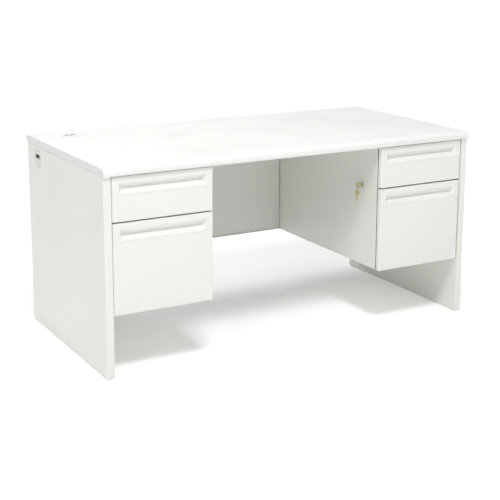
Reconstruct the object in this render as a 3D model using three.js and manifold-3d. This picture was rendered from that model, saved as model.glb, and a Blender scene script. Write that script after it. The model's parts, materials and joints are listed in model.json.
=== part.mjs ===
// Double-pedestal teacher desk in painted steel with a laminate worktop.
// Millimetres. +X is the sitter's right hand, the drawers face -Y, +Z is up.
// The origin lies on the floor, under the middle of the worktop.

import * as THREE from 'three';
import { mergeVertices } from 'three/addons/utils/BufferGeometryUtils.js';
import { ConvexGeometry } from 'three/addons/geometries/ConvexGeometry.js';
import Module from 'manifold-3d';

const wasm = await Module();
wasm.setup();

// ---------------------------------------------------------------- driving dimensions

const deskWidth = 1524;
const deskDepth = 762;
const deskHeight = 730;

const clearance = 0.3; // between pieces that touch
const sheet = 1.2; // steel sheet of the cases, liners and drawer bodies
const skin = 1.5; // steel of the drawer fronts

const topThickness = 28;
const noseRadius = 22; // round of the worktop's front edge
const edgeRadius = 5; // round of its other long edges

const endThickness = 28;
const endSetback = 10; // end panels stop this far short of the worktop's long edges
const endLift = 3; // end panels stand on glides, this far off the floor

const modestyDepth = 7;
const modestyBottom = 223;
const modestyLinerBottom = 234.5;
const linerGap = 5; // from the liner's ends to the pedestals' sides

const pedestalWidth = 378; // from the end panel to the kneespace
const pedestalBottom = 222;
const pedestalFront = -346;
const pedestalRear = 216; // behind it lies a cable space that both grommets open into
const flangeWidth = 14;
const crossRailDepth = 20;
const crossRailHeight = 14;

const frontDepth = 20;
const frontInset = 2.5; // drawer front to end panel
const topGap = 3; // from the box drawer's front up to the worktop
const frontGap = 5; // between a pedestal's two fronts
const drawerSplit = 542; // height of the gap between box and file drawers

const pullTop = 21.3; // the pull's lines, measured down from the top of the front
const pullDeepest = 43.4;
const pullBottom = 62;
const pullDepth = 12;
const pullTopInset = 25; // from the sides of the front
const pullDeepInset = 44;

const bodyDepth = 550;
const boxBodyBottom = 560;
const boxBodyHeight = 100;
const fileBodyBottom = 245;
const fileBodyHeight = 270;

const railDepth = 12.7; // side room that a ball-bearing runner takes
const railLength = 540;
const railWall = 1.5;
const boxRailHeight = 36;
const fileRailHeight = 45;
const boxRailZ = 600;
const fileRailZ = 400;

const grommetRadius = 35;
const grommetHole = 31;
const sleeveOuter = 30.7;
const sleeveInner = 29;
const capRadius = 28.7;
const grommetFlange = 1.5;
const capPlate = 2.5;
const capDepth = 8;
const capWall = 1.6;
const slotLength = 44; // the cable slot in the cap
const slotFrom = 1; // measured from the cap's middle
const slotTo = 16;
const topGrommet = { x: -624, y: 271 };
const sideGrommet = { y: 256, z: 657 };

const glideInset = 30; // from the end panel's front and rear faces
const glideRadius = 12;
const glideStem = 4;
const glideStemLength = 26;

const lockY = -250;
const lockZ = 537;
const lockBore = 9.5; // radius of the lock barrel
const lockFlange = 12;
const lockFlangeProud = 2.4; // flange face to the pedestal's side
const barrelLength = 16.5; // inside the pedestal
const plugRadius = 6;
const plugProud = 0.6;
const keywayDepth = 19;
const keywayHalfWidth = 1.4;
const keywayHalfHeight = 4;
const camThickness = 2.4;
const camHalfWidth = 4;
const camReach = 11;
const boltThickness = 3;
const boltDepth = 11;
const boltHeight = 16;
const strikeWidth = 6.7;
const strikeReach = 12;

const keyThickness = 2;
const bowRadius = 11;
const bowHole = 2.5;
const holeFromFace = 22; // plug face to the hole in the key's bow
const holeFromBow = 6.5; // middle of the bow to that hole
const bladeHalfHeight = 3.6;
const bladeShoulder = 7; // plain stretch of the blade before its bites
const bites = 5;
const ringRadius = 9.5;
const ringWire = 0.7;

// ---------------------------------------------------------------- derived places

const underside = deskHeight - topThickness;
const endFace = deskWidth / 2;
const endInner = endFace - endThickness;
const panelFront = -(deskDepth / 2 - endSetback);
const panelRear = -panelFront;
const panelTop = underside - clearance;
const caseOuter = endInner - clearance;
const caseInner = caseOuter - pedestalWidth;
const runnerRoom = railDepth + clearance;
const caseTop = panelTop;
const modestyFace = panelRear - modestyDepth - clearance;
const bodyFront = panelFront + frontDepth + clearance;
const railFront = bodyFront + 5;
const lockFace = caseInner - lockFlangeProud;
const plugFace = lockFace - plugProud;
const barrelEnd = caseInner + barrelLength;
const camX = barrelEnd + 0.8;
const strikeX = caseInner + 21; // the strikes' near face, beyond the bolts' far face

// ---------------------------------------------------------------- materials

function material(name, color, metalness, roughness) {
  const made = new THREE.MeshStandardMaterial({ color, metalness, roughness });
  made.name = name;
  return made;
}

const laminate = material('white_laminate', 0xf7f7f5, 0.0, 0.5);
const paint = material('white_paint', 0xeceee6, 0.1, 0.45);
const greyPaint = material('case_paint', 0xdfe1da, 0.1, 0.5);
const zinc = material('zinc_steel', 0xb4b7ba, 0.8, 0.38);
const chrome = material('nickel', 0xc8c9c8, 0.9, 0.25);
const brass = material('brass', 0xb59a52, 0.9, 0.35);
const plastic = material('white_plastic', 0xe6e7e1, 0.0, 0.5);
const glidePlastic = material('glide_plastic', 0x4a4a48, 0.0, 0.7);

// ---------------------------------------------------------------- geometry helpers

const root = new THREE.Group();

function add(name, geometry, look) {
  const mesh = new THREE.Mesh(geometry, look.clone());
  mesh.name = name;
  root.add(mesh);
  return mesh;
}

// A box between two corners, given in any order.
function slab(x0, x1, y0, y1, z0, z1) {
  const box = new THREE.BoxGeometry(Math.abs(x1 - x0), Math.abs(y1 - y0), Math.abs(z1 - z0));
  return box.translate((x0 + x1) / 2, (y0 + y1) / 2, (z0 + z1) / 2);
}

function solid(geometry) {
  const bare = geometry.clone();
  bare.deleteAttribute('normal');
  bare.deleteAttribute('uv');
  const merged = mergeVertices(bare, 1e-4);
  const mesh = new wasm.Mesh({
    numProp: 3,
    vertProperties: new Float32Array(merged.attributes.position.array),
    triVerts: new Uint32Array(merged.index.array),
  });
  return new wasm.Manifold(mesh);
}

function toGeometry(body) {
  const mesh = body.getMesh();
  const geometry = new THREE.BufferGeometry();
  geometry.setAttribute('position', new THREE.BufferAttribute(mesh.vertProperties, 3));
  geometry.setIndex(new THREE.BufferAttribute(mesh.triVerts, 1));
  return geometry;
}

function cut(geometry, ...tools) {
  let body = solid(geometry);
  for (const tool of tools) body = body.subtract(solid(tool));
  return toGeometry(body);
}

function join(geometry, ...others) {
  let body = solid(geometry);
  for (const other of others) body = body.add(solid(other));
  return toGeometry(body);
}

function polygon(points) {
  return new THREE.Shape(points.map(([a, b]) => new THREE.Vector2(a, b)));
}

function extrude(shape, depth, curveSegments = 6) {
  return new THREE.ExtrudeGeometry(shape, { depth, curveSegments, bevelEnabled: false });
}

// An outline drawn as (y, z), drawn out along +X from startX.
function alongX(shape, startX, length, curveSegments) {
  const turn = new THREE.Matrix4().makeBasis(
    new THREE.Vector3(0, 1, 0),
    new THREE.Vector3(0, 0, 1),
    new THREE.Vector3(1, 0, 0),
  );
  return extrude(shape, length, curveSegments).applyMatrix4(turn).translate(startX, 0, 0);
}

// An outline drawn as (x, z), drawn out from frontY towards +Y.
function alongY(shape, frontY, length, curveSegments) {
  const turn = new THREE.Matrix4().makeBasis(
    new THREE.Vector3(1, 0, 0),
    new THREE.Vector3(0, 0, 1),
    new THREE.Vector3(0, -1, 0),
  );
  return extrude(shape, length, curveSegments).applyMatrix4(turn).translate(0, frontY + length, 0);
}

function rodZ(radius, z0, z1, x, y, sides = 24) {
  const rod = new THREE.CylinderGeometry(radius, radius, z1 - z0, sides);
  return rod.rotateX(Math.PI / 2).translate(x, y, (z0 + z1) / 2);
}

function rodX(radius, x0, x1, y, z, sides = 24) {
  const rod = new THREE.CylinderGeometry(radius, radius, Math.abs(x1 - x0), sides);
  return rod.rotateZ(Math.PI / 2).translate((x0 + x1) / 2, y, z);
}

// ---------------------------------------------------------------- worktop and shell

function addWorktop() {
  const front = -deskDepth / 2;
  const rear = deskDepth / 2;
  const outline = new THREE.Shape();
  outline.moveTo(rear - edgeRadius, deskHeight);
  outline.lineTo(front + noseRadius, deskHeight);
  outline.absarc(front + noseRadius, deskHeight - noseRadius, noseRadius, Math.PI / 2, Math.PI);
  outline.absarc(front + edgeRadius, underside + edgeRadius, edgeRadius, Math.PI, 1.5 * Math.PI);
  outline.absarc(rear - edgeRadius, underside + edgeRadius, edgeRadius, 1.5 * Math.PI, 2 * Math.PI);
  outline.absarc(rear - edgeRadius, deskHeight - edgeRadius, edgeRadius, 0, Math.PI / 2);
  const board = alongX(outline, -endFace, deskWidth);
  const hole = rodZ(grommetHole, underside - 1, deskHeight + 1, topGrommet.x, topGrommet.y, 32);
  add('worktop', cut(board, hole), laminate);
}

// side is -1 for the left end and +1 for the right one.
function addEndPanel(side) {
  const name = side < 0 ? 'left_end_panel' : 'right_end_panel';
  const shellDepth = endThickness - skin;
  const stemHoles = [panelFront + glideInset, panelRear - glideInset].map((y) =>
    rodZ(glideStem + 0.5, endLift - 1, endLift + 3, side * (endFace - endThickness / 2), y));
  const pocket = slab(
    side * (endInner - 1), side * (endInner + shellDepth),
    panelFront + skin, panelRear - skin,
    endLift + skin, panelTop - skin,
  );
  const block = slab(side * endInner, side * endFace, panelFront, panelRear, endLift, panelTop);
  const cutters = [pocket, ...stemHoles];
  const liner = slab(
    side * endInner, side * (endInner + sheet),
    panelFront + skin + clearance, panelRear - skin - clearance,
    endLift + skin + clearance, panelTop - skin - clearance,
  );
  const linerCutters = [];
  if (side < 0) {
    const hole = rodX(grommetHole, -endFace - 1, -endInner + 1, sideGrommet.y, sideGrommet.z, 32);
    cutters.push(hole);
    linerCutters.push(hole);
  }
  add(name, cut(block, ...cutters), paint);
  add(`${name}_liner`, cut(liner, ...linerCutters), greyPaint);
}

function addGlide(side, end) {
  const x = side * (endFace - endThickness / 2);
  const y = end < 0 ? panelFront + glideInset : panelRear - glideInset;
  const foot = rodZ(glideRadius, 0, endLift - clearance, x, y);
  const stem = rodZ(glideStem, 1, glideStemLength, x, y);
  const name = `${side < 0 ? 'left' : 'right'}_${end < 0 ? 'front' : 'rear'}_glide`;
  add(name, join(foot, stem), glidePlastic);
}

// The rear screen: an outer sheet, and a shallow liner pan that covers it inside the kneespace.
function addModestyPanel() {
  const halfWidth = endInner - clearance;
  const outer = slab(-halfWidth, halfWidth, panelRear - sheet, panelRear, modestyBottom, panelTop);
  add('modesty_panel', outer, paint);

  const face = panelRear - modestyDepth;
  const back = panelRear - sheet - clearance;
  const reach = caseInner - linerGap;
  const pan = slab(-reach, reach, face, back, modestyLinerBottom, panelTop);
  const inside = slab(
    sheet - reach, reach - sheet,
    face + sheet, back + 1,
    modestyLinerBottom + sheet, panelTop + 1,
  );
  add('modesty_panel_liner', cut(pan, inside), greyPaint);
}

// ---------------------------------------------------------------- cable grommets

// A flanged tube whose flange lies on z = 0 and whose tube runs down to z = -length.
function sleeveGeometry(length) {
  const profile = [
    [sleeveInner, -length], [sleeveOuter, -length], [sleeveOuter, clearance],
    [grommetRadius, clearance], [grommetRadius, grommetFlange],
    [sleeveInner, grommetFlange], [sleeveInner, -length],
  ];
  const lathe = new THREE.LatheGeometry(profile.map(([r, z]) => new THREE.Vector2(r, z)), 32);
  return lathe.rotateX(Math.PI / 2);
}

// The lift-out cap: a thin plate with a cable slot, and a short skirt that drops into the sleeve.
function capGeometry() {
  const plateTop = grommetFlange - 0.2;
  const plateBottom = plateTop - capPlate;
  const skirtBottom = plateTop - capDepth;
  const plate = rodZ(capRadius, plateBottom, plateTop, 0, 0, 32);
  const skirt = cut(
    rodZ(capRadius, skirtBottom, plateBottom + 0.5, 0, 0, 32),
    rodZ(capRadius - capWall, skirtBottom - 1, plateBottom, 0, 0, 32),
  );
  const slot = slab(-slotLength / 2, slotLength / 2, slotFrom, slotTo, -capDepth - 1, plateTop + 1);
  return cut(join(plate, skirt), slot);
}

function addGrommets() {
  add('top_grommet_sleeve', sleeveGeometry(topThickness + 2), plastic)
    .position.set(topGrommet.x, topGrommet.y, deskHeight);
  add('top_grommet_cap', capGeometry(), plastic)
    .position.set(topGrommet.x, topGrommet.y, deskHeight);
  const sleeve = add('side_grommet_sleeve', sleeveGeometry(endThickness + 2), plastic);
  const cap = add('side_grommet_cap', capGeometry(), plastic);
  const facingLeft = new THREE.Matrix4().makeBasis(
    new THREE.Vector3(0, -1, 0),
    new THREE.Vector3(0, 0, 1),
    new THREE.Vector3(-1, 0, 0),
  );
  for (const piece of [sleeve, cap]) {
    piece.position.set(-endFace, sideGrommet.y, sideGrommet.z);
    piece.quaternion.setFromRotationMatrix(facingLeft);
  }
}

// ---------------------------------------------------------------- pedestal cases

// A pedestal side: a sheet with a flange turned in at the top and a hem turned in at the bottom.
function caseSideGeometry(outerX, inward, rear) {
  const inner = outerX + inward * sheet;
  const lip = outerX + inward * flangeWidth;
  const outline = polygon([
    [outerX, pedestalBottom], [lip, pedestalBottom], [lip, pedestalBottom + sheet],
    [inner, pedestalBottom + sheet], [inner, caseTop - sheet], [lip, caseTop - sheet],
    [lip, caseTop], [outerX, caseTop],
  ]);
  return alongY(outline, pedestalFront, rear - pedestalFront);
}

function addPedestalCase(side) {
  const name = side < 0 ? 'left_pedestal' : 'right_pedestal';
  let kneespaceSide = caseSideGeometry(side * caseInner, side, modestyFace);
  if (side > 0) {
    const bore = rodX(lockBore + clearance, caseInner - 2, caseInner + 4, lockY, lockZ);
    kneespaceSide = cut(kneespaceSide, bore);
  }
  add(`${name}_kneespace_side`, kneespaceSide, greyPaint);
  add(`${name}_outer_side`, caseSideGeometry(side * caseOuter, -side, pedestalRear), greyPaint);

  const inside = sheet + clearance;
  const x0 = side * (caseInner + inside);
  const x1 = side * (caseOuter - inside);
  const floorZ = pedestalBottom + inside;
  const backTop = caseTop - inside;
  add(`${name}_back`, slab(x0, x1, pedestalRear - sheet, pedestalRear, floorZ, backTop), greyPaint);
  const floorRear = pedestalRear - inside;
  add(`${name}_floor`, slab(x0, x1, pedestalFront, floorRear, floorZ, floorZ + sheet), greyPaint);

  const railBack = pedestalFront + crossRailDepth;
  const lower = drawerSplit - crossRailHeight / 2;
  const upper = drawerSplit + crossRailHeight / 2;
  const channel = polygon([
    [pedestalFront, lower], [railBack, lower], [railBack, lower + sheet],
    [pedestalFront + sheet, lower + sheet], [pedestalFront + sheet, upper - sheet],
    [railBack, upper - sheet], [railBack, upper], [pedestalFront, upper],
  ]);
  const channelStart = Math.min(x0, x1);
  add(`${name}_cross_rail`, alongX(channel, channelStart, Math.abs(x1 - x0)), greyPaint);
}

// ---------------------------------------------------------------- drawers

// The finger recess as a wedge: a top edge and a bottom edge on the face, and a shorter edge deep
// inside. grow moves every face of it outwards.
function pullWedge(centreX, width, topZ, grow) {
  const face = panelFront - 1;
  const deep = panelFront + pullDepth + grow;
  const corners = [];
  for (const end of [-1, 1]) {
    const wide = centreX + end * (width / 2 - pullTopInset + grow);
    const narrow = centreX + end * (width / 2 - pullDeepInset + grow);
    corners.push(new THREE.Vector3(wide, face, topZ - pullTop + grow));
    corners.push(new THREE.Vector3(narrow, deep, topZ - pullDeepest));
    corners.push(new THREE.Vector3(wide, face, topZ - pullBottom - grow));
  }
  return new ConvexGeometry(corners);
}

// A pressed front: a pan open at the back, with the finger recess pressed into it.
function frontGeometry(centreX, width, bottomZ, topZ) {
  const x0 = centreX - width / 2;
  const x1 = centreX + width / 2;
  const back = panelFront + frontDepth;
  const hollow = slab(x0 + skin, x1 - skin, panelFront + skin, back + 1, bottomZ + skin, topZ - skin);
  return cut(
    slab(x0, x1, panelFront, back, bottomZ, topZ),
    cut(hollow, pullWedge(centreX, width, topZ, skin)),
    pullWedge(centreX, width, topZ, 0),
  );
}

// An open-topped tray.
function trayGeometry(x0, x1, bottomZ, height) {
  const rear = bodyFront + bodyDepth;
  const block = slab(x0, x1, bodyFront, rear, bottomZ, bottomZ + height);
  const hollow = slab(
    x0 + sheet, x1 - sheet,
    bodyFront + sheet, rear - sheet,
    bottomZ + sheet, bottomZ + height + 1,
  );
  return cut(block, hollow);
}

// The strike that a lock bolt meets under a box drawer of the locking pedestal.
function boxStrike() {
  return slab(
    strikeX, strikeX + strikeWidth,
    lockY - 0.5, lockY - 0.5 + sheet,
    boxBodyBottom - strikeReach, boxBodyBottom + 0.5,
  );
}

// The same for a file drawer: a shelf on its side wall, with the strike standing on it.
function fileStrike(wallX) {
  const top = fileBodyBottom + fileBodyHeight;
  const y = lockY + boltDepth + 2;
  const far = strikeX + strikeWidth;
  const shelf = slab(wallX, far, y, y + strikeReach, top - sheet, top);
  const tab = slab(strikeX, far, y, y + sheet, top - sheet, top + strikeReach);
  return join(shelf, tab);
}

// A C-shaped runner section: web at webX, flanges reaching towards reachX.
function railSection(webX, reachX, centreZ, height) {
  const inward = Math.sign(reachX - webX);
  const web = webX + inward * railWall;
  const low = centreZ - height / 2;
  const high = centreZ + height / 2;
  return polygon([
    [webX, low], [reachX, low], [reachX, low + railWall], [web, low + railWall],
    [web, high - railWall], [reachX, high - railWall], [reachX, high], [webX, high],
  ]);
}

// One runner between a case wall and a drawer wall; inward points from the case to the drawer.
// Its rails nest, each lower than the last by the room its balls take.
function addRunner(prefix, caseX, inward, centreZ, height, threePart) {
  const ballRoom = 8;
  const nested = threePart ? 2 : 1;
  const at = (distance) => caseX + inward * distance;
  const addRail = (part, webAt, reachAt, partHeight) => {
    const section = railSection(at(webAt), at(reachAt), centreZ, partHeight);
    add(`${prefix}_${part}`, alongY(section, railFront, railLength), zinc);
  };
  addRail('case_rail', clearance, railDepth - 2.2, height);
  if (threePart) addRail('middle_rail', 3, railDepth - 2.7, height - ballRoom);
  addRail('drawer_rail', railDepth - clearance, 1.5 + 2 * nested, height - nested * ballRoom);
}

function addDrawer(side, kind) {
  const name = `${side < 0 ? 'left' : 'right'}_${kind}_drawer`;
  const isFile = kind === 'file';
  const outer = endInner - frontInset;
  const width = outer - caseInner;
  const centreX = side * (outer + caseInner) / 2;
  const bottomZ = isFile ? pedestalBottom : drawerSplit + frontGap / 2;
  const topZ = isFile ? drawerSplit - frontGap / 2 : underside - topGap;
  add(`${name}_front`, frontGeometry(centreX, width, bottomZ, topZ), paint);

  const nearWall = caseInner + sheet + runnerRoom;
  const farWall = caseOuter - sheet - runnerRoom;
  const x0 = Math.min(side * nearWall, side * farWall);
  const x1 = Math.max(side * nearWall, side * farWall);
  const trayBottom = isFile ? fileBodyBottom : boxBodyBottom;
  let tray = trayGeometry(x0, x1, trayBottom, isFile ? fileBodyHeight : boxBodyHeight);
  if (side > 0) tray = join(tray, isFile ? fileStrike(x0) : boxStrike());
  add(`${name}_body`, tray, greyPaint);

  const railZ = isFile ? fileRailZ : boxRailZ;
  const railHeight = isFile ? fileRailHeight : boxRailHeight;
  const kneeWall = side * (caseInner + sheet);
  const endWall = side * (caseOuter - sheet);
  addRunner(`${name}_kneespace`, kneeWall, side, railZ, railHeight, isFile);
  addRunner(`${name}_outer`, endWall, -side, railZ, railHeight, isFile);
}

// ---------------------------------------------------------------- lock and keys

function addLock() {
  const housing = join(
    rodX(lockBore, lockFace, barrelEnd, lockY, lockZ),
    rodX(lockFlange, lockFace, caseInner - clearance, lockY, lockZ),
  );
  const bore = rodX(plugRadius + clearance, lockFace - 1, barrelEnd + 1, lockY, lockZ);
  add('lock_housing', cut(housing, bore), chrome);

  const plug = rodX(plugRadius, plugFace, camX, lockY, lockZ);
  const cam = slab(
    camX - 0.1, camX + camThickness,
    lockY - camHalfWidth, lockY + camHalfWidth,
    lockZ - camReach, lockZ + camReach,
  );
  const keyway = slab(
    plugFace - 1, lockFace + keywayDepth,
    lockY - keywayHalfWidth, lockY + keywayHalfWidth,
    lockZ - keywayHalfHeight, lockZ + keywayHalfHeight,
  );
  add('lock_plug', cut(join(plug, cam), keyway), chrome);

  addBolt('upper_lock_bolt', lockY - boltDepth - 1, lockZ + 1);
  addBolt('lower_lock_bolt', lockY + 1, lockZ - 1);
}

// A bolt that slides up or down beside the cam.
function addBolt(name, y, middleZ) {
  const x = camX + camThickness + 0.4;
  const low = middleZ - boltHeight / 2;
  add(name, slab(x, x + boltThickness, y, y + boltDepth, low, low + boltHeight), zinc);
}

// A key drawn in (a, b) with its bow around the origin, its hole at -a and its blade along +a.
function keyShape(bladeLength) {
  const meet = Math.asin(bladeHalfHeight / bowRadius);
  const neck = bowRadius * Math.cos(meet);
  const tip = neck + bladeLength;
  const outline = new THREE.Shape();
  outline.moveTo(neck, bladeHalfHeight);
  outline.absarc(0, 0, bowRadius, meet, 2 * Math.PI - meet, false);
  outline.lineTo(neck + bladeShoulder, -bladeHalfHeight);
  const pitch = (bladeLength - bladeShoulder - 2) / bites;
  for (let bite = 0; bite < bites; bite += 1) {
    const start = neck + bladeShoulder + bite * pitch;
    outline.lineTo(start + pitch / 2, bite % 2 ? -1.6 : -2.3);
    outline.lineTo(start + pitch, -bladeHalfHeight);
  }
  outline.lineTo(tip, -bladeHalfHeight / 2);
  outline.lineTo(tip, bladeHalfHeight);
  const hole = new THREE.Path();
  hole.absarc(-holeFromBow, 0, bowHole, 0, 2 * Math.PI, true);
  outline.holes.push(hole);
  return outline;
}

function addKeys() {
  const holeX = plugFace - holeFromFace;
  const bowX = holeX + holeFromBow;
  const bladeLength = plugFace - bowX - bowRadius + keywayDepth - 2;
  const key = alongY(keyShape(bladeLength), -keyThickness / 2, keyThickness, 12);
  add('key', key, brass).position.set(bowX, lockY, lockZ);

  const wireZ = lockZ - bowHole + ringWire + clearance;
  const ring = new THREE.TorusGeometry(ringRadius, ringWire, 8, 24).rotateY(Math.PI / 2);
  add('key_ring', ring, chrome).position.set(holeX, lockY, wireZ - ringRadius);

  const hangZ = wireZ - 2 * ringRadius + ringWire + clearance - bowHole;
  const spare = alongY(keyShape(bladeLength), -keyThickness / 2, keyThickness, 12);
  const hanging = add('spare_key', spare.rotateY(Math.PI / 2), brass);
  hanging.position.set(holeX, lockY, hangZ - holeFromBow);
}

// ---------------------------------------------------------------- assembly

addWorktop();
addModestyPanel();
addGrommets();
for (const side of [-1, 1]) {
  addEndPanel(side);
  addGlide(side, -1);
  addGlide(side, 1);
  addPedestalCase(side);
  addDrawer(side, 'box');
  addDrawer(side, 'file');
}
addLock();
addKeys();

export default root;
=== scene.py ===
"""Looks of a white steel desk with two drawer pedestals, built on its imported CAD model.

The named sizes below belong to details that the CAD model leaves out, such as bends, hems, rounded
edges and the finger pulls' curves. Metres. +X is the sitter's right hand, the drawers face -Y, and
+Z is up.
"""

import json
import math

import bmesh
import bpy
from mathutils import Matrix, Vector


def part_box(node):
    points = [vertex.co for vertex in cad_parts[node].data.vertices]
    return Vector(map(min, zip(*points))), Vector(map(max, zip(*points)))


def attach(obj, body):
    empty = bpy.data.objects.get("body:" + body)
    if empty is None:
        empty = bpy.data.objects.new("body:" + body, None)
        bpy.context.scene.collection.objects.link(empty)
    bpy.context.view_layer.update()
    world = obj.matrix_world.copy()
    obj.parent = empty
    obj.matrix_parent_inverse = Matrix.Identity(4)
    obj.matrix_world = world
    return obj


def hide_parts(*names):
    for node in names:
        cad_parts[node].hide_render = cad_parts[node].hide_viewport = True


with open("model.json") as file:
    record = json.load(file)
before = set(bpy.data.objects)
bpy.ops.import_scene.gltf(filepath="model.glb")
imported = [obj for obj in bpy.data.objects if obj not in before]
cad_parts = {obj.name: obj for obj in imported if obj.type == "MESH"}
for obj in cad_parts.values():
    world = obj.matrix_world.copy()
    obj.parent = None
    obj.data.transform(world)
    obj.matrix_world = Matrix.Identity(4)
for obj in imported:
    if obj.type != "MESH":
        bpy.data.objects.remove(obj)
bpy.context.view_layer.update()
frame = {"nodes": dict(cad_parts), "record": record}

MM = 0.001
SIDES = ("left", "right")

# ---------------------------------------------------------------- sizes of the details

STEEL = 1.2 * MM  # sheet of the cases, drawer bodies and modesty panel
FRONT_STEEL = 1.5 * MM  # sheet of the drawer fronts and end panels
BEND = 2.4 * MM  # outer radius of a folded corner
RUNNER_STEEL = 1.5 * MM
RUNNER_BEND = 2.2 * MM
DRILL = 0.1  # length of the tools that bore holes, longer than any hole

PULL_TOP = 21.3 * MM  # lines of the finger pull, measured down from the top of a front
PULL_DEEPEST = 43.4 * MM
PULL_BOTTOM = 62 * MM
PULL_DEPTH = 15 * MM
PULL_TOP_INSET = 25 * MM  # its ends, measured in from the sides of the front
PULL_DEEP_INSET = 44 * MM
LIP_STEP_TOP = 61 * MM  # a shallow step runs across under the pull's lip
LIP_STEP_BOTTOM = 68 * MM
LIP_STEP = 1.6 * MM

FRONT_SIDE_ROUND = 5 * MM
FRONT_EDGE_ROUND = 2.4 * MM
PANEL_ROUND = 4.5 * MM  # an end panel's front and rear edges
PANEL_FOOT_ROUND = 2 * MM
PANEL_TOP_ROUND = 0.5 * MM
NOSE_RADIUS = 22 * MM
BOARD_EDGE = 5 * MM
BOARD_END = 1.2 * MM

HEM = 9 * MM  # height of the hem rolled over the top of a drawer body
HEM_FOLD = 2.8 * MM  # across the roll

GROMMET_HOLE = 31 * MM  # radii of the hole, the flange, the tube and the cap
GROMMET_FLANGE = 35 * MM
TUBE_INNER = 29 * MM
TUBE_OUTER = 30.7 * MM
CAP_RADIUS = 28.7 * MM
GROMMET_LIP = 1.2 * MM  # the flange's thickness
CAP_SUNK = 0.2 * MM  # below the flange's face
CAP_PLATE = 2.5 * MM
CAP_WALL = 1.6 * MM
CAP_SKIRT = 8 * MM
CABLE_SLOT = (22 * MM, 1 * MM, 16 * MM)  # half its length, and its edges from the cap's middle

LOCK_BORE = 9.8 * MM  # radii of the hole, the barrel and the plug
BARREL = 9.5 * MM
PLUG_RADIUS = 6 * MM
THREAD = 1.25 * MM  # pitch, on the barrel and on the glides
KEYWAY = (2.8 * MM, 8 * MM, 19 * MM)  # width, height and depth
BARREL_SLACK = 0.3 * MM  # round the plug, and under the flange
BARREL_ROOT = 0.6 * MM  # depth of the barrel's thread
MOUTH_ROUND = 0.9 * MM
FLANGE_DISH = 0.15 * MM
FLANGE_ROUND = 1.6 * MM
NUT = 3.2 * MM  # thickness
CAM = 2.4 * MM  # the cam plate and its screw's head together
CAM_HEAD = 0.8 * MM
CAM_END = 4 * MM  # radius of the cam's ends

STRIKE_INSET = 21 * MM  # from the pedestal's side to the strikes that the lock bolts meet
STRIKE_WIDTH = 6.7 * MM
STRIKE_REACH = 12 * MM
BOX_STRIKE_AHEAD = 0.5 * MM  # of the lock's axis
FILE_STRIKE_BACK = 13 * MM  # from the lock's axis
STRIKE_TO_WALL = 0.5 * MM

KEY_HOLE = 2.5 * MM  # radius, and its place from the middle of the bow
KEY_HOLE_OUT = 6.5 * MM
KEY_BLADE = 3.6 * MM  # half its height
KEY_SHOULDER = 7 * MM
KEY_BITES = (1.3, 0.4, 1.9, 0.9, 1.5)  # depths in mm
KEY_TIP = 2 * MM  # plain stretch past the last bite
KEY_PANEL = (6 * MM, 3.2 * MM, 0.25 * MM)  # radius, place and depth of the bow's sunk panel
KEY_GROOVE = (0.1 * MM, 1.5 * MM, 0.5 * MM)  # lower edge, upper edge and depth
RING_FILL = 0.92  # share of its half of the ring that a turn of wire fills
RING_WIRE = 1.9  # half the wire's radial depth, in quarters of the ring's width
RING_TURN = 700  # degrees of wire, which starts at RING_START
RING_START = 115
RING_KINK = (338, 26)  # degrees along the wire where it crosses over, and how long that takes

GLIDE_STEM = 4 * MM  # radii at the crest and the root of the stem's thread
GLIDE_ROOT = 3.3 * MM
GLIDE_PLATE = 2.7 * MM  # height of the foot
GLIDE_ROUND = 0.9 * MM

FLOOR_REACH = 60.0  # half its side
FLOOR_WHITE = (0.92, 0.94)  # it varies between these
FLOOR_GLOW = (0.2, 0.6)  # its own brightness near the desk, and far away
GLOW_RISE = (1.8, 6.0)  # distances between which it rises
SKY_LOW = 0.05  # brightness at the horizon and overhead
SKY_HIGH = 0.64
SKY_RISE = (0.3, 0.65)  # heights on a unit dome between which it brightens

CAMERA_PLACE = (-2.15963, -3.79655, 1.48610)
CAMERA_TURN = (29.644, 12.163, 0.176)  # right of +Y, down, and roll, in degrees
CAMERA_LENS = 83.043
CAMERA_SENSOR = 36
CAMERA_SHIFT = -0.14
STUDIO_LIGHTS = (  # name, place, target, size and power
    ("key", (-0.9, -2.6, 4.6), (0, -0.3, 0.3), 1.0, 126),
    ("rear", (-0.6, 1.6, 3.6), (0, 0, 0), 2.4, 46),
    ("left", (-3.4, -2.0, 3.8), (0, 0, 0.3), 2.0, 26),
)


# ---------------------------------------------------------------- materials


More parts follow.
